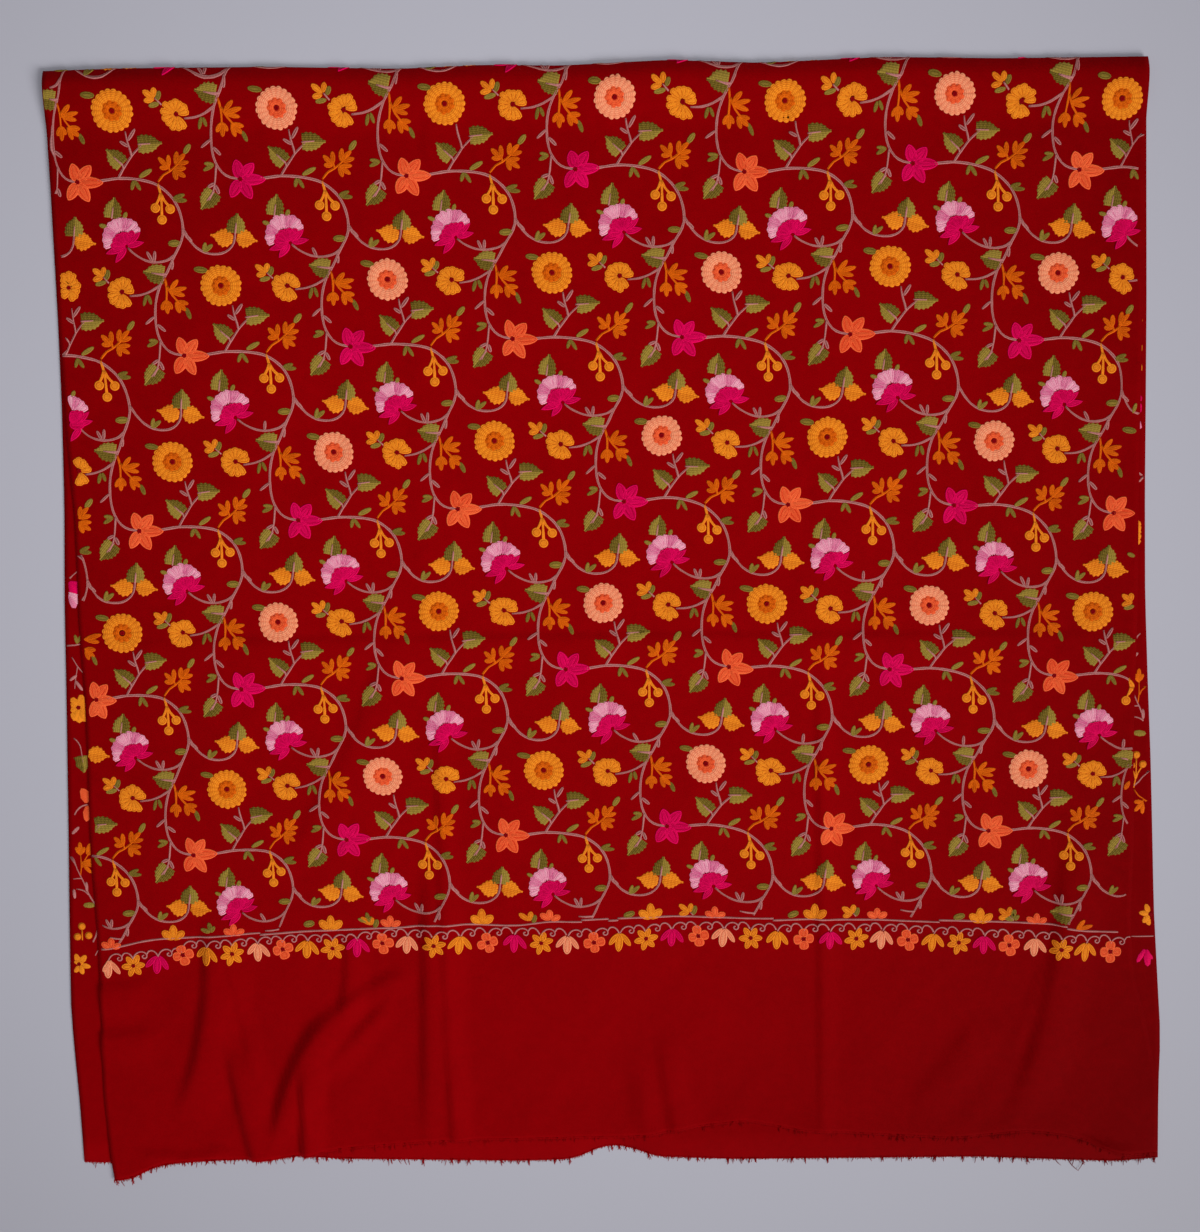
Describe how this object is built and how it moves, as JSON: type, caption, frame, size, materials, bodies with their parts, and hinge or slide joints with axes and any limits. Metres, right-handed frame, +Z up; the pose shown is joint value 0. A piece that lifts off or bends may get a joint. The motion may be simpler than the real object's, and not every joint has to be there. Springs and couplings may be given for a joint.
{
  "type": "embroidered shawl",
  "caption": "Wool shawl with an all-over embroidered flowering vine and plain frayed end bands, folded once across and laid flat.",
  "frame": {"origin": "on the surface that the folded shawl lies on, under the middle of its box", "axes": "+Z up from the surface, +Y towards the fold, +X to the right as seen from above with the fold at the far side"},
  "size_m": [1.026, 1.03, 0.0119],
  "materials": {
    "wool_cloth": "fine crimson wool twill, matt with a soft nap",
    "frayed_wool": "loose crimson wool threads at the raw ends",
    "amber_thread": "chain stitch in amber thread, slightly lustrous",
    "orange_thread": "chain stitch in burnt orange thread, slightly lustrous",
    "peach_thread": "chain stitch in peach thread, slightly lustrous",
    "coral_thread": "chain stitch in coral thread, slightly lustrous",
    "magenta_thread": "chain stitch in magenta thread, slightly lustrous",
    "pink_thread": "chain stitch in pale pink thread, slightly lustrous",
    "olive_thread": "chain stitch in two olive green threads, slightly lustrous",
    "mauve_thread": "chain stitch in mauve grey thread, slightly lustrous"
  },
  "bodies": {
    "root": {"lower_layer": "wool_cloth", "fold": "wool_cloth", "upper_layer": "wool_cloth", "lower_frayed_end": "frayed_wool", "upper_frayed_end": "frayed_wool"}
  },
  "joints": []
}
